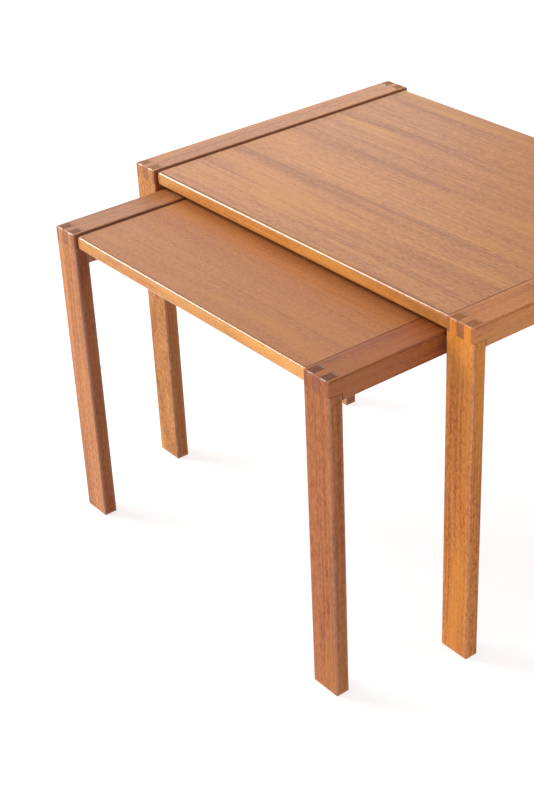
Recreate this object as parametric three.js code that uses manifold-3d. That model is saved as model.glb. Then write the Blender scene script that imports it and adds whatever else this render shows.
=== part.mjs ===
// A pair of nesting tables in solid and veneered teak. The small table stands under the large
// one and draws out towards -Y. Each table is two end frames with a veneered top between them:
// a frame is a rail and two legs held by finger joints, and a batten stiffens the rail from
// below. Millimetres, +Z up. The origin is on the floor, at the middle of the pair as it stands
// with the small table part drawn out.

import * as THREE from 'three';
import { mergeVertices } from 'three/addons/utils/BufferGeometryUtils.js';
import Module from 'manifold-3d';

// The two tables.
const LARGE_WIDTH = 710;
const LARGE_HEIGHT = 500;
const LARGE_DEPTH = 500;
const SMALL_DEPTH = 508;
const DRAWN_OUT = 177;

// The small table goes between the large one's legs and under its top.
const SIDE_CLEARANCE = 8;
const TOP_CLEARANCE = 3.5;

// Legs and rails. Both are flat boards of one width, and the joint is as deep as a leg is thick.
const LEG_WIDTH = 48;
const LEG_THICKNESS = 21;
const RAIL_HEIGHT = 32;
const JOINT_HEIGHT = 21;
const FINGER_WIDTH = 12;
const OUTER_FINGER_WIDTH = 6;

// The batten under each rail, flush with the inner faces of the legs.
const BATTEN_WIDTH = 18;
const BATTEN_DROP = 49.5;

// The top: a core with lippings all round, faced with veneer above and below.
const TOP_THICKNESS = 22;
const TOP_STEP = 2.5;
const TOP_END_GAP = 2;
const TOP_SETBACK = 5;
const VENEER_THICKNESS = 0.8;
const LONG_LIPPING = 14;
const END_LIPPING = 8;
const UPPER_ARRIS = 3;
const LOWER_ROUND = 8;

// Dowels that carry the top between the rails.
const DOWEL_RADIUS = 5;
const DOWEL_LENGTH = 48;
const DOWELS_PER_END = 4;
const DOWEL_END_MARGIN = 70;

// Room left between faces that touch.
const GAP = 0.3;

// How far a cutter runs past the faces that it goes through, and how close points must be to
// count as one.
const OVERCUT = 1;
const MERGE_DISTANCE = 1e-4;

// Segments of a rounded edge, and sides of a bore or a dowel.
const CURVE_STEPS = 6;
const BORE_SIDES = 20;

const wasm = await Module();
wasm.setup();

const SMALL_WIDTH = LARGE_WIDTH - 2 * (LEG_WIDTH + SIDE_CLEARANCE);
const SMALL_HEIGHT = LARGE_HEIGHT - TOP_STEP - TOP_THICKNESS - TOP_CLEARANCE;

const TEAK_RAIL = { color: 0xbd8054, roughness: 0.48, metalness: 0 };
const TEAK_LEG = { color: 0xb5713f, roughness: 0.48, metalness: 0 };
const TEAK_VENEER = { color: 0xc6906a, roughness: 0.42, metalness: 0 };
const TEAK_LIPPING = { color: 0xd08b4c, roughness: 0.45, metalness: 0 };
const CORE_BOARD = { color: 0xc9ac7c, roughness: 0.85, metalness: 0 };
const BEECH_DOWEL = { color: 0xd9bd8f, roughness: 0.7, metalness: 0 };

function solidOf(geometry) {
  const bare = geometry.clone();
  bare.deleteAttribute('normal');
  bare.deleteAttribute('uv');
  const merged = mergeVertices(bare, MERGE_DISTANCE);
  return new wasm.Manifold(new wasm.Mesh({
    numProp: 3,
    vertProperties: new Float32Array(merged.attributes.position.array),
    triVerts: new Uint32Array(merged.index.array),
  }));
}

function geometryOf(solid) {
  const mesh = solid.getMesh();
  const geometry = new THREE.BufferGeometry();
  geometry.setAttribute('position', new THREE.BufferAttribute(new Float32Array(mesh.vertProperties), 3));
  geometry.setIndex(new THREE.BufferAttribute(new Uint32Array(mesh.triVerts), 1));
  geometry.computeVertexNormals();
  return geometry;
}

// A block between two corners.
function block(low, high) {
  const size = high.map((value, axis) => value - low[axis]);
  const geometry = new THREE.BoxGeometry(...size);
  geometry.translate(...low.map((value, axis) => value + size[axis] / 2));
  return geometry;
}

// A rod along X from x0 to x1.
function rodAlongX(radius, x0, x1, y, z) {
  const geometry = new THREE.CylinderGeometry(radius, radius, x1 - x0, BORE_SIDES);
  geometry.rotateZ(Math.PI / 2);
  geometry.translate((x0 + x1) / 2, y, z);
  return geometry;
}

function piece(name, geometry, look) {
  const mesh = new THREE.Mesh(geometry, new THREE.MeshStandardMaterial(look));
  mesh.name = name;
  return mesh;
}

// The finger joint's steps across a leg's width, from the outer face. The rail has the first,
// third and fifth fingers, and the leg has the two between them.
const FINGER_EDGES = [
  0,
  OUTER_FINGER_WIDTH,
  OUTER_FINGER_WIDTH + FINGER_WIDTH,
  OUTER_FINGER_WIDTH + 2 * FINGER_WIDTH,
  OUTER_FINGER_WIDTH + 3 * FINGER_WIDTH,
  LEG_WIDTH,
];
const RAIL_FINGERS = [[FINGER_EDGES[0], FINGER_EDGES[1]], [FINGER_EDGES[2], FINGER_EDGES[3]],
  [FINGER_EDGES[4], FINGER_EDGES[5]]];
const LEG_FINGERS = [[FINGER_EDGES[1], FINGER_EDGES[2]], [FINGER_EDGES[3], FINGER_EDGES[4]]];

// A front leg with its outer face at x = 0 and its front face at y = 0. Slots at its head take
// the rail's fingers.
function legGeometry(height) {
  let leg = solidOf(block([0, 0, 0], [LEG_WIDTH, LEG_THICKNESS, height]));
  const shoulder = height - JOINT_HEIGHT - GAP;
  for (const [from, to] of RAIL_FINGERS) {
    const slot = block([from - GAP / 2, -OVERCUT, shoulder],
      [to + GAP / 2, LEG_THICKNESS + OVERCUT, height + OVERCUT]);
    leg = leg.subtract(solidOf(slot));
  }
  return geometryOf(leg);
}

// A rail with its outer face at x = 0, from y = 0 to the table's depth. Below the joint it is
// shouldered against the legs, and its inner face is bored for the dowels.
function railGeometry(depth, height, dowelSeats) {
  let rail = solidOf(block([0, 0, height - RAIL_HEIGHT], [LEG_WIDTH, depth, height]));
  const reach = LEG_THICKNESS + GAP;
  for (const [near, far] of [[-OVERCUT, reach], [depth - reach, depth + OVERCUT]]) {
    const shoulder = block([-OVERCUT, near, height - RAIL_HEIGHT - OVERCUT],
      [LEG_WIDTH + OVERCUT, far, height - JOINT_HEIGHT]);
    rail = rail.subtract(solidOf(shoulder));
    for (const [from, to] of LEG_FINGERS) {
      const slot = block([from - GAP / 2, near, height - JOINT_HEIGHT - OVERCUT],
        [to + GAP / 2, far, height + OVERCUT]);
      rail = rail.subtract(solidOf(slot));
    }
  }
  const seatDepth = (DOWEL_LENGTH - TOP_END_GAP) / 2 + GAP;
  for (const { y, z } of dowelSeats) {
    const bore = rodAlongX(DOWEL_RADIUS + GAP, LEG_WIDTH - seatDepth, LEG_WIDTH + OVERCUT, y, z);
    rail = rail.subtract(solidOf(bore));
  }
  return geometryOf(rail);
}

// A batten under the rail, between the legs and flush with their inner faces.
function battenGeometry(depth, height) {
  const reach = LEG_THICKNESS + GAP;
  return block([LEG_WIDTH - BATTEN_WIDTH, reach, height - BATTEN_DROP],
    [LEG_WIDTH, depth - reach, height - RAIL_HEIGHT - GAP]);
}

// The section of the front lipping in Y and Z, from the front edge of the top inwards. Its
// upper arris goes on into the veneer above it, and its lower edge is well rounded.
function lippingSection(front, underside, surface) {
  const back = front + LONG_LIPPING;
  const veneerJoint = surface - VENEER_THICKNESS - GAP;
  const backingJoint = underside + VENEER_THICKNESS + GAP;
  const arrisStart = Math.acos((UPPER_ARRIS - (surface - veneerJoint)) / UPPER_ARRIS);
  const roundStart = Math.acos((LOWER_ROUND - (backingJoint - underside)) / LOWER_ROUND);
  const points = [];
  for (let step = 0; step <= CURVE_STEPS; step += 1) {
    const angle = roundStart + (Math.PI / 2 - roundStart) * (step / CURVE_STEPS);
    points.push([
      front + LOWER_ROUND * (1 - Math.sin(angle)),
      underside + LOWER_ROUND * (1 - Math.cos(angle)),
    ]);
  }
  for (let step = 0; step <= CURVE_STEPS; step += 1) {
    const angle = Math.PI / 2 - (Math.PI / 2 - arrisStart) * (step / CURVE_STEPS);
    points.push([
      front + UPPER_ARRIS * (1 - Math.sin(angle)),
      surface - UPPER_ARRIS * (1 - Math.cos(angle)),
    ]);
  }
  points.push([back, veneerJoint], [back, backingJoint]);
  return points;
}

// A section in Y and Z carried along X from x0 to x1.
function carryAlongX(section, x0, x1) {
  const shape = new THREE.Shape(section.map(([y, z]) => new THREE.Vector2(y, z)));
  const geometry = new THREE.ExtrudeGeometry(shape, { depth: x1 - x0, bevelEnabled: false });
  geometry.applyMatrix4(new THREE.Matrix4().set(
    0, 0, 1, x0,
    1, 0, 0, 0,
    0, 1, 0, 0,
    0, 0, 0, 1,
  ));
  return geometry;
}

// One side's copy of a piece that was made for the left side, or for the front.
function mirrored(geometry, axis, about) {
  const copy = geometry.index ? geometry.toNonIndexed() : geometry.clone();
  const position = copy.attributes.position;
  for (let corner = 0; corner < position.count; corner += 1) {
    position.setComponent(corner, axis, 2 * about - position.getComponent(corner, axis));
  }
  for (let corner = 0; corner < position.count; corner += 3) {
    const second = new THREE.Vector3().fromBufferAttribute(position, corner + 1);
    const third = new THREE.Vector3().fromBufferAttribute(position, corner + 2);
    position.setXYZ(corner + 1, third.x, third.y, third.z);
    position.setXYZ(corner + 2, second.x, second.y, second.z);
  }
  copy.deleteAttribute('normal');
  copy.deleteAttribute('uv');
  copy.computeVertexNormals();
  return copy;
}

function dowelSeatsOf(depth, height) {
  const seats = [];
  const span = depth - 2 * DOWEL_END_MARGIN;
  for (let index = 0; index < DOWELS_PER_END; index += 1) {
    seats.push({
      y: DOWEL_END_MARGIN + span * index / (DOWELS_PER_END - 1),
      z: height - TOP_STEP - TOP_THICKNESS / 2,
    });
  }
  return seats;
}

// A whole table, with its front left foot's outer corner at the origin of its group.
function table(prefix, width, depth, height) {
  const group = new THREE.Group();
  const seats = dowelSeatsOf(depth, height);
  const middle = width / 2;

  const leg = legGeometry(height);
  const rail = railGeometry(depth, height, seats);
  const batten = battenGeometry(depth, height);
  for (const side of ['left', 'right']) {
    const onSide = (geometry) => (side === 'left' ? geometry : mirrored(geometry, 0, middle));
    group.add(piece(`${prefix}_${side}_rail`, onSide(rail), TEAK_RAIL));
    group.add(piece(`${prefix}_${side}_batten`, onSide(batten), TEAK_LEG));
    group.add(piece(`${prefix}_${side}_front_leg`, onSide(leg), TEAK_LEG));
    group.add(piece(`${prefix}_${side}_back_leg`, onSide(mirrored(leg, 1, depth / 2)), TEAK_LEG));
  }

  const surface = height - TOP_STEP;
  const underside = surface - TOP_THICKNESS;
  const left = LEG_WIDTH + TOP_END_GAP;
  const right = width - left;
  const front = TOP_SETBACK;
  const back = depth - TOP_SETBACK;
  const veneerFront = front + UPPER_ARRIS;
  const backingFront = front + LOWER_ROUND;
  group.add(piece(`${prefix}_top_veneer`,
    block([left, veneerFront, surface - VENEER_THICKNESS], [right, depth - veneerFront, surface]),
    TEAK_VENEER));
  group.add(piece(`${prefix}_backing_veneer`,
    block([left, backingFront, underside], [right, depth - backingFront, underside + VENEER_THICKNESS]),
    TEAK_VENEER));

  const lipping = carryAlongX(lippingSection(front, underside, surface), left, right);
  group.add(piece(`${prefix}_front_lipping`, lipping, TEAK_LIPPING));
  group.add(piece(`${prefix}_back_lipping`, mirrored(lipping, 1, depth / 2), TEAK_LIPPING));

  const coreLow = underside + VENEER_THICKNESS + GAP;
  const coreHigh = surface - VENEER_THICKNESS - GAP;
  const coreFront = front + LONG_LIPPING + GAP;
  const coreBack = back - LONG_LIPPING - GAP;
  const coreLeft = left + END_LIPPING + GAP;
  let endLipping = solidOf(block([left, coreFront, coreLow], [left + END_LIPPING, coreBack, coreHigh]));
  let core = solidOf(block([coreLeft, coreFront, coreLow], [width - coreLeft, coreBack, coreHigh]));
  const seatDepth = (DOWEL_LENGTH - TOP_END_GAP) / 2 + GAP;
  for (const { y, z } of seats) {
    const bore = rodAlongX(DOWEL_RADIUS + GAP, left - OVERCUT, left + seatDepth, y, z);
    const oppositeBore = rodAlongX(DOWEL_RADIUS + GAP, right - seatDepth, right + OVERCUT, y, z);
    endLipping = endLipping.subtract(solidOf(bore));
    core = core.subtract(solidOf(bore)).subtract(solidOf(oppositeBore));
  }
  const endLippingGeometry = geometryOf(endLipping);
  group.add(piece(`${prefix}_core_board`, geometryOf(core), CORE_BOARD));
  group.add(piece(`${prefix}_left_end_lipping`, endLippingGeometry, TEAK_LIPPING));
  group.add(piece(`${prefix}_right_end_lipping`, mirrored(endLippingGeometry, 0, middle), TEAK_LIPPING));

  const dowelStart = LEG_WIDTH - (DOWEL_LENGTH - TOP_END_GAP) / 2;
  seats.forEach(({ y, z }, index) => {
    const dowel = rodAlongX(DOWEL_RADIUS, dowelStart, dowelStart + DOWEL_LENGTH, y, z);
    group.add(piece(`${prefix}_left_dowel_${index + 1}`, dowel, BEECH_DOWEL));
    group.add(piece(`${prefix}_right_dowel_${index + 1}`, mirrored(dowel, 0, middle), BEECH_DOWEL));
  });
  return group;
}

const tables = new THREE.Group();
const footprintFront = -(DRAWN_OUT + LARGE_DEPTH) / 2;
const large = table('large', LARGE_WIDTH, LARGE_DEPTH, LARGE_HEIGHT);
large.position.set(-LARGE_WIDTH / 2, footprintFront + DRAWN_OUT, 0);
const small = table('small', SMALL_WIDTH, SMALL_DEPTH, SMALL_HEIGHT);
small.position.set(-SMALL_WIDTH / 2, footprintFront, 0);
tables.add(large, small);

export default tables;
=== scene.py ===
import math

import bpy
import numpy as np
from mathutils import Matrix, Vector


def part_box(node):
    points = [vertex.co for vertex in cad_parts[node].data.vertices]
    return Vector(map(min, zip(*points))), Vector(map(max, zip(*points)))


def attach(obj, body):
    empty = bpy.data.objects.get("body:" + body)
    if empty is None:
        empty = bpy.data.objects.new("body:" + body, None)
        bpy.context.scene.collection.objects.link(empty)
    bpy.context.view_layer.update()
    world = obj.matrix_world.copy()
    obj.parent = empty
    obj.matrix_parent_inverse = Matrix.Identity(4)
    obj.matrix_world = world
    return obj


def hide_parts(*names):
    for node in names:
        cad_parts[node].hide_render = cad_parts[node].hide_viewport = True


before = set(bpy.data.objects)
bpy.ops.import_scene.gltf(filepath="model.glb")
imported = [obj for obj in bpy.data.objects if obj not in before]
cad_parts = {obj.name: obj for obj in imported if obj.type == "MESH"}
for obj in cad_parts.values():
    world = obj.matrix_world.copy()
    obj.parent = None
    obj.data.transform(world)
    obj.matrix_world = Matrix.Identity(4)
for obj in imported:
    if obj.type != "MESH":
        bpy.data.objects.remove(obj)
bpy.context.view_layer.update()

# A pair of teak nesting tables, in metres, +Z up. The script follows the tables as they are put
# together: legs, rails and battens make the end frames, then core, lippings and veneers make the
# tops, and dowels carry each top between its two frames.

scene = bpy.context.scene

# Legs. Each is a flat planed board of teak standing on its sawn end. Its head is cut into two
# fingers that pass up between the rail's three and show as end grain on top of the frame. The
# outer edges are eased to a small round, and each glue line stays as a fine V groove.
FINGER = 0.012
OUTER_FINGER = 0.006
JOINT_HEIGHT = 0.021
EASED_EDGE = 0.0030
GROOVE_SHARE = 0.18
FOOT_SHARE = 0.35
GLUE_LINE = 0.00012
LEG, RAIL, FAR_LEG, BATTEN = 1, 2, 3, 4
# Each end has its own colours. The left ends are paler and the right ends darker: partly the boards'
# own tone, and partly painted light and shade for the lamp at the front left.
LEG_TEAK_AND_PAINTED_LIGHT = {
    "large_left": ((0.700, 0.312, 0.092, 1), (0.320, 0.108, 0.030, 1)),
    "large_right": ((0.700, 0.250, 0.050, 1), (0.300, 0.078, 0.014, 1)),
    "small_left": ((0.590, 0.240, 0.090, 1), (0.280, 0.090, 0.032, 1)),
    "small_right": ((0.440, 0.148, 0.048, 1), (0.205, 0.055, 0.018, 1)),
}
SAWN_LIGHT = (0.250, 0.094, 0.048, 1)
SAWN_DARK = (0.105, 0.034, 0.022, 1)
SAWN_LEGS = {"large_left": 0.65, "large_right": 0.65, "small_left": 0.75, "small_right": 0.90}


def end_frame(table, side):
    """The cut planes of one end frame along X, Y and Z, and the piece that owns each cell between them.

    A face between two owners is a glued one, and a face between an owner and 0 is a free one.
    """
    near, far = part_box(f"{table}_{side}_front_leg")
    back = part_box(f"{table}_{side}_back_leg")[0]
    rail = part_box(f"{table}_{side}_rail")
    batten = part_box(f"{table}_{side}_batten")[0]
    fingers = np.cumsum([0, OUTER_FINGER, FINGER, FINGER, FINGER, OUTER_FINGER])
    cuts = (near.x + fingers, np.array([near.y, far.y, back.y, rail[1].y]),
            np.array([near.z, batten.z, rail[0].z, far.z - JOINT_HEIGHT, far.z]))
    owner = np.zeros((5, 3, 4), int)
    owner[:, 0, :] = LEG
    owner[:, 2, :] = FAR_LEG
    owner[:, 1, 2:] = RAIL
    owner[::2, :, 3] = RAIL
    inner = slice(3, 5) if side == "left" else slice(0, 2)
    owner[inner, 1, 1] = BATTEN
    return cuts, owner


def board(name, cuts, owner, piece):
    """One piece of an end frame as a closed mesh: every lattice face with the piece on one side only.

    A glued face sinks by half a glue line. An edge is eased where one cell of the whole frame
    meets it, grooved where the piece turns a corner against its neighbour, and eased less
    where it stands on the floor.
    """
    mine = np.pad(owner == piece, 1)
    whole = np.pad(owner > 0, 1)
    counts = np.array([len(cut) for cut in cuts])
    strides = np.array([counts[1] * counts[2], counts[2], 1])
    grid = np.stack(np.meshgrid(*cuts, indexing="ij"), -1).reshape(-1, 3)
    sunk = grid.copy()
    faces = []
    for axis in range(3):
        one, two = np.delete(np.arange(3), axis)
        below, above = [slice(None)] * 3, [slice(None)] * 3
        below[axis], above[axis] = slice(0, -1), slice(1, None)
        filled = mine[tuple(above)].astype(int) - mine[tuple(below)]
        glued = whole[tuple(above)] & whole[tuple(below)]
        for into in (1, -1):
            cells = np.argwhere(filled == into)
            low = cells.copy()
            low[:, [one, two]] -= 1
            corner = low @ strides
            beyond = corner + strides[one]
            ring = [corner, beyond, beyond + strides[two], corner + strides[two]]
            outwards = (into == -1) == (axis != 1)
            quads = np.stack(ring if outwards else ring[::-1], -1)
            faces.append(quads)
            touching = quads[glued[tuple(cells.T)]].ravel()
            sunk[touching, axis] = grid[touching, axis] + into * GLUE_LINE / 2
    used, corners = np.unique(np.concatenate(faces), return_inverse=True)
    mesh = bpy.data.meshes.new(name)
    mesh.from_pydata(sunk[used].tolist(), [], corners.reshape(-1, 4).tolist())

    ends = np.zeros(len(mesh.edges) * 2, int)
    mesh.edges.foreach_get("vertices", ends)
    places = np.stack(np.unravel_index(used[ends.reshape(-1, 2)], counts), -1)
    first = places.min(1)
    run = np.argmax(places[:, 0] != places[:, 1], axis=1)
    weights = np.zeros(len(run))
    for axis in range(3):
        one, two = np.delete(np.arange(3), axis)
        rows = run == axis
        cell = first[rows] + (np.arange(3) == axis)
        own, around = np.zeros(rows.sum(), int), np.zeros(rows.sum(), int)
        for step in ((0, 0), (0, 1), (1, 0), (1, 1)):
            beside = cell.copy()
            beside[:, [one, two]] += step
            own += mine[tuple(beside.T)]
            around += whole[tuple(beside.T)]
        weights[rows] = np.where(own == 1, np.where(around == 1, 1.0, GROOVE_SHARE), 0.0)
    on_floor = (places[:, :, 2] == 0).all(1)
    weights[on_floor] *= FOOT_SHARE
    mesh.attributes.new("bevel_weight_edge", "FLOAT", "EDGE").data.foreach_set("value", weights)
    mesh.polygons.foreach_set("use_smooth", np.ones(len(mesh.polygons), bool))

    made = bpy.data.objects.new(name, mesh)
    scene.collection.objects.link(made)
    eased = made.modifiers.new("eased edges", "BEVEL")
    eased.limit_method = "WEIGHT"
    eased.width = EASED_EDGE
    eased.segments = 4
    eased.harden_normals = True
    return made


class Field:
    """A number, colour or vector that varies over the wood: one output socket of a material."""

    def __init__(self, tree, socket):
        self.tree = tree
        self.socket = socket

    def node(self, kind, settings, values, output=0):
        """A new node with its settings, then a number, vector or Field put into each socket named."""
        added = self.tree.nodes.new(kind)
        for name, value in settings.items():
            setattr(added, name, value)
        for name, value in values.items():
            if isinstance(value, Field):
                self.tree.links.new(value.socket, added.inputs[name])
            else:
                added.inputs[name].default_value = value
        return Field(self.tree, added.outputs[output])

    def math(self, operation, one, two=0.0):
        return self.node("ShaderNodeMath", {"operation": operation}, {0: one, 1: two})

    def vector_math(self, operation, one, two=(0, 0, 0), output=0):
        return self.node("ShaderNodeVectorMath", {"operation": operation}, {0: one, 1: two}, output)

    def __add__(self, other):
        return self.math("ADD", self, other)

    def __radd__(self, other):
        return self.math("ADD", other, self)

    def __sub__(self, other):
        return self.math("SUBTRACT", self, other)

    def __rsub__(self, other):
        return self.math("SUBTRACT", other, self)

    def __mul__(self, other):
        return self.math("MULTIPLY", self, other)

    def __rmul__(self, other):
        return self.math("MULTIPLY", other, self)

    def __truediv__(self, other):
        return self.math("DIVIDE", self, other)

    def part(self, index):
        """One component of a vector."""
        return self.node("ShaderNodeSeparateXYZ", {}, {0: self}, index)

    def rise(self, start, end):
        """0 up to start, 1 from end on, and a smooth step between them."""
        values = {"Value": self, "From Min": start, "From Max": end}
        return self.node("ShaderNodeMapRange", {"interpolation_type": "SMOOTHSTEP"}, values)

    def cloud(self, lengths, detail=2.0, roughness=0.5):
        """Noise from 0 to 1 with patches of these lengths along the three axes."""
        values = {"Vector": self.vector_math("DIVIDE", self, lengths), "Scale": 1.0,
                  "Detail": detail, "Roughness": roughness}
        return self.node("ShaderNodeTexNoise", {}, values)

    def blend(self, under, over):
        """The colour under, turning into the colour over as this goes from 0 to 1."""
        return self.node("ShaderNodeMix", {"data_type": "RGBA"}, {0: self, 6: under, 7: over}, 2)


def new_finish(piece, name):
    """A new material on the piece: its shader, and the piece's own place and direction as Fields."""
    material = bpy.data.materials.new(name)
    material.use_nodes = True
    tree = material.node_tree
    coordinates = tree.nodes.new("ShaderNodeTexCoord")
    piece.data.materials.clear()
    piece.data.materials.append(material)
    return (tree.nodes["Principled BSDF"], Field(tree, coordinates.outputs["Object"]),
            Field(tree, coordinates.outputs["Normal"]))


def join(shader, **fields):
    """Links each Field to the shader's socket of that name, with _ for a space."""
    for name, field in fields.items():
        field.tree.links.new(field.socket, shader.inputs[name.replace("_", " ")])


def place_in_log(number):
    """Where a board was cut: 0.83 m further along for each, a golden angle round, 90 to 170 mm out."""
    out = 0.13 + 0.04 * math.sin(1.7 * number)
    return Vector((0.83 * number, out * math.cos(2.4 * number), out * math.sin(2.4 * number)))


def tint(colour, red, green, blue):
    """The colour with each of its parts multiplied."""
    return colour[0] * red, colour[1] * green, colour[2] * blue, 1


GRAIN_TURNS = {"X": (0, 0, 0), "Y": (0, 0, -math.pi / 2), "Z": (0, math.pi / 2, 0)}
RING_SPACING = 0.0045


def teak(name, piece, grain, heart, light, dark,
         figure=1.0, sawn=0.6, sheen=0.12, polish=1.0, seam=0.0):
    """Oiled teak. The piece lies in a log with its grain along it and its middle at heart.

    The figure follows the distance from the log's axis, bent by slow noise: broad bands and
    narrow lines are noise over that distance, and rings its fractional part in ring spacings.
    Sawn is how dark the end grain is, sheen how much the flat faces shine, polish how much more
    the handled edges do, and seam how dark the joint round the piece is. The faces of the end
    frames that look inwards, in under the tops, are darkened as painted shade.
    """
    shader, here, facing = new_finish(piece, name)
    corners = np.array(piece.bound_box)
    middle = Vector((corners.min(0) + corners.max(0)) / 2)
    half = Vector((corners.max(0) - corners.min(0)) / 2)
    turn = Vector(GRAIN_TURNS[grain])
    turned = Matrix.Rotation(turn.z, 3, "Z") @ Matrix.Rotation(turn.y, 3, "Y") @ middle
    placing = {"Vector": here, "Rotation": turn, "Location": heart - turned}
    log = here.node("ShaderNodeMapping", {}, placing)
    along, across, through = log.part(0), log.part(1), log.part(2)

    wander = log.cloud((0.40, 0.09, 0.09), 2.0) - 0.5
    ripple = log.cloud((0.050, 0.010, 0.010), 2.0) - 0.5
    radius = log.math("SQRT", across * across + through * through) + wander * 0.018 + ripple * 0.0014
    season = log.math("FRACT", radius / RING_SPACING)
    late_wood = season.rise(0.30, 0.88) * (1 - season.rise(0.92, 1.0))
    streaks = log.node("ShaderNodeCombineXYZ", {}, {0: along * 0.12, 1: radius})
    bands = streaks.cloud((0.10, 0.026, 1.0), 3.0, 0.55)
    lines = streaks.cloud((0.05, 0.0042, 1.0), 3.0, 0.6)
    warmth = log.cloud((0.30, 0.045, 0.045), 2.0)
    fibres = log.cloud((0.026, 0.0009, 0.0009), 3.0, 0.65)
    flecks = log.cloud((0.0080, 0.0034, 0.0034), 3.0, 0.8)
    pores = log.cloud((0.0045, 0.00045, 0.00045), 1.0).rise(0.66, 0.76)

    depth = 0.42 + figure * 1.3 * (bands - 0.5) + figure * 1.2 * (lines - 0.5)
    depth = depth + 0.28 * (late_wood - 0.3) * lines.rise(0.35, 0.70)
    depth = depth + 0.60 * (fibres - 0.5) + (0.9 + 1.2 * figure) * (flecks - 0.5)
    colour = log.node("ShaderNodeClamp", {}, {0: depth}).blend(light, dark)
    golden = tint(light, 1.04, 1.12, 0.88)
    colour = (warmth.rise(0.50, 0.72) * 0.55).blend(colour, golden)
    colour = (bands.rise(0.58, 0.74) * 0.5 * figure).blend(colour, tint(dark, 0.82, 0.74, 0.74))
    colour = (pores * 0.5).blend(colour, tint(dark, 0.45, 0.40, 0.40))

    grain_axis = tuple(float(name == grain) for name in "XYZ")
    along_grain = log.vector_math("DOT_PRODUCT", facing, grain_axis, "Value")
    end_grain = log.math("ABSOLUTE", along_grain).rise(0.72, 0.94)
    sawn_colour = (fibres * 0.4 + flecks * 0.3 + late_wood * 0.3).blend(SAWN_LIGHT, SAWN_DARK)
    colour = (end_grain * sawn).blend(colour, sawn_colour)

    from_middle = log.vector_math("ABSOLUTE", log.vector_math("SUBTRACT", here, middle))
    inset = log.vector_math("SUBTRACT", half, from_middle)
    a, b, c = inset.part(0), inset.part(1), inset.part(2)
    least = log.math("MINIMUM", a, log.math("MINIMUM", b, c))
    most = log.math("MAXIMUM", a, log.math("MAXIMUM", b, c))
    edge = a + b + c - least - most
    handled = 1 - edge.rise(0.0005, 0.0050)
    colour = (handled * flecks.rise(0.30, 0.75) * 0.25).blend(colour, tint(dark, 1.0, 0.9, 0.9))
    colour = ((1 - edge.rise(0.0006, 0.0018)) * seam).blend(colour, tint(dark, 0.35, 0.30, 0.30))

    # Painted shade: the colour of end frame faces that turn in under the tops is darkened, standing in
    # for the shade there.
    inwards = -math.copysign(1.0, middle.x) if abs(middle.x) > 0.1 else 0.0
    painted_inner_shade = log.vector_math("DOT_PRODUCT", facing, (inwards, 0.0, 0.0), "Value").rise(0.25, 0.75)
    colour = (painted_inner_shade * 0.6).blend(colour, tint(dark, 0.55, 0.40, 0.40))

    rough = 0.42 + 0.10 * (fibres - 0.5) + 0.10 * (warmth - 0.5) + 0.20 * pores + 0.12 * end_grain
    relief = 0.4 * fibres + 0.3 * flecks - 0.9 * pores - 0.2 * late_wood
    bump = log.node("ShaderNodeBump", {}, {"Strength": 0.35, "Distance": 0.0003, "Height": relief})
    shader.inputs["Specular IOR Level"].default_value = sheen
    shader.inputs["Coat Roughness"].default_value = 0.20
    shader.inputs["Coat IOR"].default_value = 1.7
    join(shader, Base_Color=colour, Roughness=rough, Coat_Weight=handled * polish, Normal=bump)


def hand_over(piece, node):
    """The piece stands for a CAD node: it moves with its table, and the CAD node is hidden."""
    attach(piece, node.split("_")[0] + "_table")
    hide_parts(node)


ENDS = [(f"{table}_{side}", *end_frame(table, side))
        for table in ("large", "small") for side in ("left", "right")]
for number, (end, cuts, owner) in enumerate(ENDS):
    for place, owned, cut in (("front", LEG, number), ("back", FAR_LEG, number + 4)):
        node = f"{end}_{place}_leg"
        leg = board(f"{node}_teak", cuts, owner, owned)
        teak(f"{node}_wood", leg, "Z", place_in_log(cut), *LEG_TEAK_AND_PAINTED_LIGHT[end],
             figure=1.3, sawn=SAWN_LEGS[end], polish=0.8)
        hand_over(leg, node)

# Rails. One solid board lies across each pair of legs, shouldered against them, with three
# fingers at each end. Its grain runs front to back, so its fingers show end grain in front.
# The right rails are deeper and more saturated than the left ones: partly the boards' own tone, and
# partly painted shade for the weaker sheen the right rails catch.
RAIL_TEAK_AND_PAINTED_LIGHT = {
    "large_left": ((0.580, 0.240, 0.082, 1), (0.300, 0.096, 0.034, 1)),
    "large_right": ((0.615, 0.226, 0.066, 1), (0.310, 0.088, 0.026, 1)),
    "small_left": ((0.460, 0.178, 0.062, 1), (0.230, 0.072, 0.025, 1)),
    "small_right": ((0.420, 0.122, 0.032, 1), (0.200, 0.045, 0.012, 1)),
}
for number, (end, cuts, owner) in enumerate(ENDS):
    rail = board(f"{end}_rail_teak", cuts, owner, RAIL)
    teak(f"{end}_rail_wood", rail, "Y", place_in_log(number + 8), *RAIL_TEAK_AND_PAINTED_LIGHT[end],
         sawn=0.4, sheen=0.32, polish=0.0)
    hand_over(rail, f"{end}_rail")

# Battens. A plain planed strip is glued under each rail, flush with the inner faces of the legs,
# and keeps the long rail from sagging.
for number, (end, cuts, owner) in enumerate(ENDS):
    batten = board(f"{end}_batten_teak", cuts, owner, BATTEN)
    teak(f"{end}_batten_wood", batten, "Y", place_in_log(number + 12), *LEG_TEAK_AND_PAINTED_LIGHT[end])
    hand_over(batten, f"{end}_batten")

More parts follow.
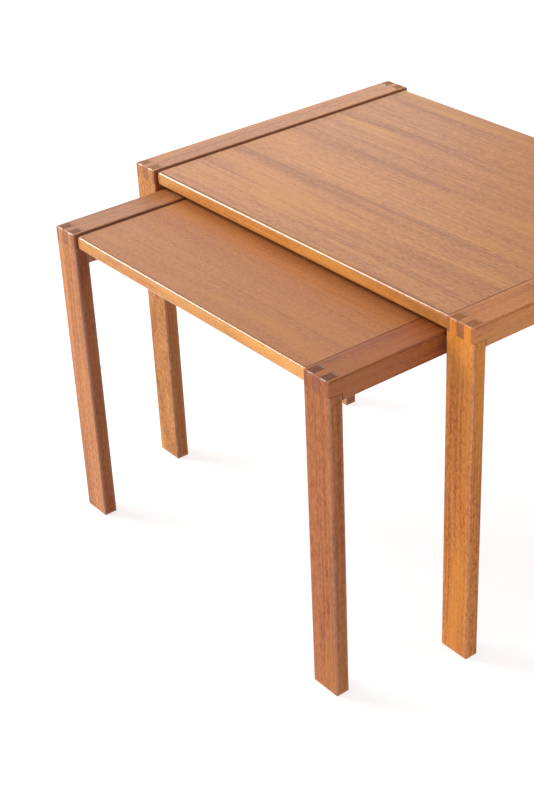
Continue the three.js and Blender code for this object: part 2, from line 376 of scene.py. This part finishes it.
# Cores. A pressed board of wood chips fills each top. The veneers and lippings close it in on
# all sides, and its ends are bored for the dowels.
CHIP_LIGHT = (0.64, 0.49, 0.31, 1)
CHIP_DARK = (0.38, 0.25, 0.14, 1)
CHIPS_PER_METRE = 380.0
for table in ("large", "small"):
    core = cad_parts[f"{table}_core_board"]
    shader, here, _ = new_finish(core, f"{table}_core_chips")
    packing = {"Vector": here, "Scale": CHIPS_PER_METRE}
    chips = here.node("ShaderNodeTexVoronoi", {}, packing, "Color").part(0)
    dust = here.cloud((0.002, 0.002, 0.002), 3.0)
    bump = here.node("ShaderNodeBump", {}, {"Strength": 0.5, "Distance": 0.0004, "Height": chips})
    join(shader, Base_Color=(chips * 0.7 + dust * 0.3).blend(CHIP_LIGHT, CHIP_DARK),
         Roughness=0.75 + 0.2 * dust, Normal=bump)

# Lippings. Solid strips of a lighter, more orange teak close the core all round. The long ones
# have a well rounded lower edge, and their upper edge is eased together with the veneer laid
# over them. The end ones are plain strips in the shadow gap beside the rails.
UPPER_ARRIS = 0.0048
LOWER_ROUND = 0.0070
VENEER = 0.0008
ARC_POINTS = 11
SANDED_ARRIS = 0.00025
LIPPING_LIGHT = (0.730, 0.315, 0.075, 1)
LIPPING_DARK = (0.380, 0.125, 0.026, 1)


def carried(name, section, start, end):
    """A closed section of Y and Z points carried straight along X from start to end.

    Vertex (i, j) is section point j at end i. A section that runs anticlockwise seen from +X
    has its sides facing outwards, and a flat face closes each end.
    """
    ring = len(section)
    points = np.zeros((2, ring, 3))
    points[:, :, 0] = np.array([[start], [end]])
    points[:, :, 1:] = section
    here = np.arange(ring)
    after = np.roll(here, -1)
    sides = np.stack([here, after, after + ring, here + ring], -1).tolist()
    mesh = bpy.data.meshes.new(name)
    mesh.from_pydata(points.reshape(-1, 3).tolist(), [],
                     [*sides, here[::-1].tolist(), (here + ring).tolist()])
    mesh.polygons.foreach_set("use_smooth", np.ones(len(mesh.polygons), bool))
    made = bpy.data.objects.new(name, mesh)
    scene.collection.objects.link(made)
    eased = made.modifiers.new("sanded arrises", "BEVEL")
    eased.limit_method = "ANGLE"
    eased.angle_limit = math.radians(50)
    eased.width = SANDED_ARRIS
    eased.segments = 2
    eased.harden_normals = True
    return made


def arc(centre, radius, start, end):
    """Points on a circle in Y and Z from one angle to another, in degrees from +Y towards +Z."""
    angles = np.radians(np.linspace(start, end, ARC_POINTS))
    return np.stack([centre[0] + radius * np.cos(angles), centre[1] + radius * np.sin(angles)], -1)


class Top:
    """The outline of one table's top: its corners, and where its glue lines cut its rounded edges."""

    def __init__(self, table):
        self.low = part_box(f"{table}_front_lipping")[0]
        self.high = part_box(f"{table}_back_lipping")[1]
        self.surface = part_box(f"{table}_top_veneer")[1].z
        self.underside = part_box(f"{table}_backing_veneer")[0].z
        self.upper = self.surface - UPPER_ARRIS
        self.lower = self.underside + LOWER_ROUND
        self.over = self.surface - VENEER
        self.under = self.underside + VENEER

    def angles(self, gap):
        """How far round the two arcs the glue lines lie, in degrees from level, gap inside them."""
        upper = math.degrees(math.asin((self.over - gap - self.upper) / UPPER_ARRIS))
        lower = math.degrees(math.asin((self.lower - self.under - gap) / LOWER_ROUND))
        return upper, lower


TOPS = {table: Top(table) for table in ("large", "small")}
for number, (table, top) in enumerate(TOPS.items()):
    upper, lower = top.angles(GLUE_LINE)
    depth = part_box(f"{table}_front_lipping")[1].y - top.low.y
    strip = np.concatenate([
        [(depth, top.over - GLUE_LINE)],
        arc((UPPER_ARRIS, top.upper), UPPER_ARRIS, 180 - upper, 180),
        arc((LOWER_ROUND, top.lower), LOWER_ROUND, 180, 180 + lower),
        [(depth, top.under + GLUE_LINE)]])
    front = strip + (top.low.y, 0)
    back = (strip * (-1, 1) + (top.high.y, 0))[::-1]
    for place, section, cut in (("front", front, 16), ("back", back, 18)):
        node = f"{table}_{place}_lipping"
        lipping = carried(f"{node}_teak", section, top.low.x, top.high.x)
        teak(f"{node}_wood", lipping, "X", place_in_log(number + cut), LIPPING_LIGHT, LIPPING_DARK,
             figure=0.9, sheen=0.35)
        hand_over(lipping, node)
    for side, cut in (("left", 20), ("right", 22)):
        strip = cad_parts[f"{table}_{side}_end_lipping"]
        teak(f"{table}_{side}_end_lipping_wood", strip, "Y", place_in_log(number + cut),
             LIPPING_LIGHT, LIPPING_DARK)

# Top veneers. One thin leaf of sliced teak lies over the core and the lippings, with its figure
# along the top. Its two long edges are rounded off with the lippings and show as a fine line.
VENEER_LOOKS = {
    "large": ((0.620, 0.265, 0.090, 1), (0.320, 0.115, 0.048, 1), (3.0, 0.42, 0.10), 0.9),
    "small": ((0.560, 0.216, 0.068, 1), (0.315, 0.106, 0.035, 1), (7.0, 0.50, 0.16), 0.5),
}
for table, (light, dark, heart, figure) in VENEER_LOOKS.items():
    top = TOPS[table]
    upper = top.angles(0.0)[0]
    section = np.concatenate([
        arc((top.high.y - UPPER_ARRIS, top.upper), UPPER_ARRIS, upper, 90),
        arc((top.low.y + UPPER_ARRIS, top.upper), UPPER_ARRIS, 90, 180 - upper)])
    leaf = carried(f"{table}_top_veneer_teak", section, top.low.x, top.high.x)
    teak(f"{table}_top_veneer_wood", leaf, "X", Vector(heart), light, dark, figure,
         sheen=0.30, polish=0.0, seam=0.55)
    hand_over(leaf, f"{table}_top_veneer")

# Backing veneers. A plainer leaf under the core balances the top one, so that the board stays
# flat. The rounded lower edges of the lippings run on into it.
for number, (table, top) in enumerate(TOPS.items()):
    lower = top.angles(0.0)[1]
    section = np.concatenate([
        arc((top.low.y + LOWER_ROUND, top.lower), LOWER_ROUND, 180 + lower, 270),
        arc((top.high.y - LOWER_ROUND, top.lower), LOWER_ROUND, 270, 360 - lower)])
    leaf = carried(f"{table}_backing_veneer_teak", section, top.low.x, top.high.x)
    teak(f"{table}_backing_veneer_wood", leaf, "X", place_in_log(number + 24),
         *RAIL_TEAK_AND_PAINTED_LIGHT[f"{table}_left"], figure=0.6)
    hand_over(leaf, f"{table}_backing_veneer")

# Dowels. Four fluted beech pegs at each end run from the core through the shadow gap into the
# rail. The flutes let the glue out, and the ends are chamfered to find their holes.
FLUTES = 18
FLUTE_DEPTH = 0.00025
CHAMFER = 0.0012
HOLE_CLEARANCE = 0.0001
AROUND = 144
BEECH_LIGHT = (0.74, 0.56, 0.35, 1)
BEECH_DARK = (0.55, 0.37, 0.21, 1)


def fluted_peg(name, low, high):
    """A peg along X inside the box from low to high.

    Vertex (i, j) is at angle j round station i. Its radius is half the box's height less the
    clearance in the hole, less the flute depth
    times half of one plus the cosine of FLUTES times the angle, less the chamfer at either end.
    """
    radius = (high.z - low.z) / 2 - HOLE_CLEARANCE
    stations = np.array([low.x, low.x + CHAMFER, high.x - CHAMFER, high.x])
    shrink = np.array([CHAMFER, 0, 0, CHAMFER])
    angle = np.arange(AROUND) / AROUND * 2 * np.pi
    out = radius - FLUTE_DEPTH * (1 + np.cos(FLUTES * angle)) / 2 - shrink[:, None]
    points = np.stack([np.broadcast_to(stations[:, None], out.shape),
                       (low.y + high.y) / 2 + out * np.cos(angle),
                       (low.z + high.z) / 2 + out * np.sin(angle)], -1)
    row, column = np.meshgrid(np.arange(3), np.arange(AROUND), indexing="ij")
    after = (column + 1) % AROUND
    sides = np.stack([row * AROUND + column, row * AROUND + after,
                      (row + 1) * AROUND + after, (row + 1) * AROUND + column], -1).reshape(-1, 4)
    ring = np.arange(AROUND)
    mesh = bpy.data.meshes.new(name)
    mesh.from_pydata(points.reshape(-1, 3).tolist(), [],
                     [*sides.tolist(), ring[::-1].tolist(), (ring + 3 * AROUND).tolist()])
    made = bpy.data.objects.new(name, mesh)
    scene.collection.objects.link(made)
    return made


for node in sorted(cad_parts):
    if "_dowel_" in node:
        peg = fluted_peg(f"{node}_beech", *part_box(node))
        shader, here, _ = new_finish(peg, f"{node}_beech_grain")
        grain = here.cloud((0.020, 0.0008, 0.0008), 3.0)
        flecks = here.cloud((0.0030, 0.0004, 0.0004), 1.0).rise(0.58, 0.66)
        bump = here.node("ShaderNodeBump", {}, {"Strength": 0.3, "Distance": 0.0002, "Height": grain})
        join(shader, Base_Color=(grain * 0.8 + flecks * 0.4).blend(BEECH_LIGHT, BEECH_DARK),
             Roughness=0.55 + 0.2 * grain, Normal=bump)
        hand_over(peg, node)

# Room. A wide white floor, walls that fade upwards from white to grey, a large soft lamp at the
# front left that draws the bright line along each rounded edge, one overhead, and two weak fills.
FLOOR_SIZE = 60.0
TARGET = Vector((0.0, 0.0, 0.35))
reach = FLOOR_SIZE / 2
corners = [(-reach, -reach, 0), (reach, -reach, 0), (reach, reach, 0), (-reach, reach, 0)]
mesh = bpy.data.meshes.new("floor")
mesh.from_pydata(corners, [], [(0, 1, 2, 3)])
floor = bpy.data.objects.new("floor", mesh)
scene.collection.objects.link(floor)
shader, here, _ = new_finish(floor, "white_floor")
mottle = here.cloud((0.5, 0.5, 0.5), 3.0)
join(shader, Base_Color=mottle.blend((0.42, 0.42, 0.42, 1), (0.39, 0.39, 0.39, 1)),
     Roughness=0.8 + 0.1 * mottle)
shader.inputs["Emission Color"].default_value = (1, 1, 1, 1)
shader.inputs["Emission Strength"].default_value = 0.74

walls = bpy.data.worlds.new("white_room")
scene.world = walls
walls.use_nodes = True
tree = walls.node_tree
direction = Field(tree, tree.nodes.new("ShaderNodeTexCoord").outputs["Generated"])
grey = direction.part(2).rise(0.10, 0.40)
join(tree.nodes["Background"], Color=grey.blend((0.90, 0.90, 0.90, 1), (0.20, 0.20, 0.20, 1)))


def lamp(name, place, width, height, radiance):
    """A soft lamp of that size that looks at the tables from its place, with its top level."""
    data = bpy.data.lights.new(name, "AREA")
    data.shape = "RECTANGLE"
    data.size = width
    data.size_y = height
    data.energy = radiance * math.pi * width * height
    made = bpy.data.objects.new(name, data)
    made.location = place
    made.rotation_euler = (Vector(place) - TARGET).to_track_quat("Z", "Y").to_euler()
    scene.collection.objects.link(made)


lamp("front_left_softbox", (-3.40, -1.80, 2.95), 2.1, 2.4, 11.5)
lamp("overhead_softbox", (0.5, 1.1, 3.3), 2.6, 2.2, 1.6)
lamp("front_fill", (-0.1, -3.4, 0.7), 2.4, 1.1, 4.4)
lamp("back_left_fill", (-2.7, 1.3, 1.6), 2.6, 1.8, 1.7)

# Camera. A long lens, as for a portrait, looks down at the tables from the front right. The
# camera is held upright and leans slightly to one side.
FOCAL_LENGTH = 72.17
CAMERA_PLACE = (1.534, -1.348, 1.401)
AZIMUTH = math.radians(53.32)
ELEVATION = math.radians(30.72)
LEAN = math.radians(-2.86)
across = Vector((math.cos(AZIMUTH), math.sin(AZIMUTH), 0))
back = Vector((math.sin(AZIMUTH) * math.cos(ELEVATION), -math.cos(AZIMUTH) * math.cos(ELEVATION),
               math.sin(ELEVATION)))
upwards = back.cross(across)
lens = bpy.data.cameras.new("camera")
lens.lens = FOCAL_LENGTH
lens.clip_end = 100
camera = bpy.data.objects.new("camera", lens)
camera.matrix_world = Matrix.Translation(CAMERA_PLACE) @ Matrix((
    across * math.cos(LEAN) + upwards * math.sin(LEAN),
    upwards * math.cos(LEAN) - across * math.sin(LEAN),
    back)).transposed().to_4x4()
scene.collection.objects.link(camera)
scene.camera = camera
scene.view_settings.view_transform = "Standard"
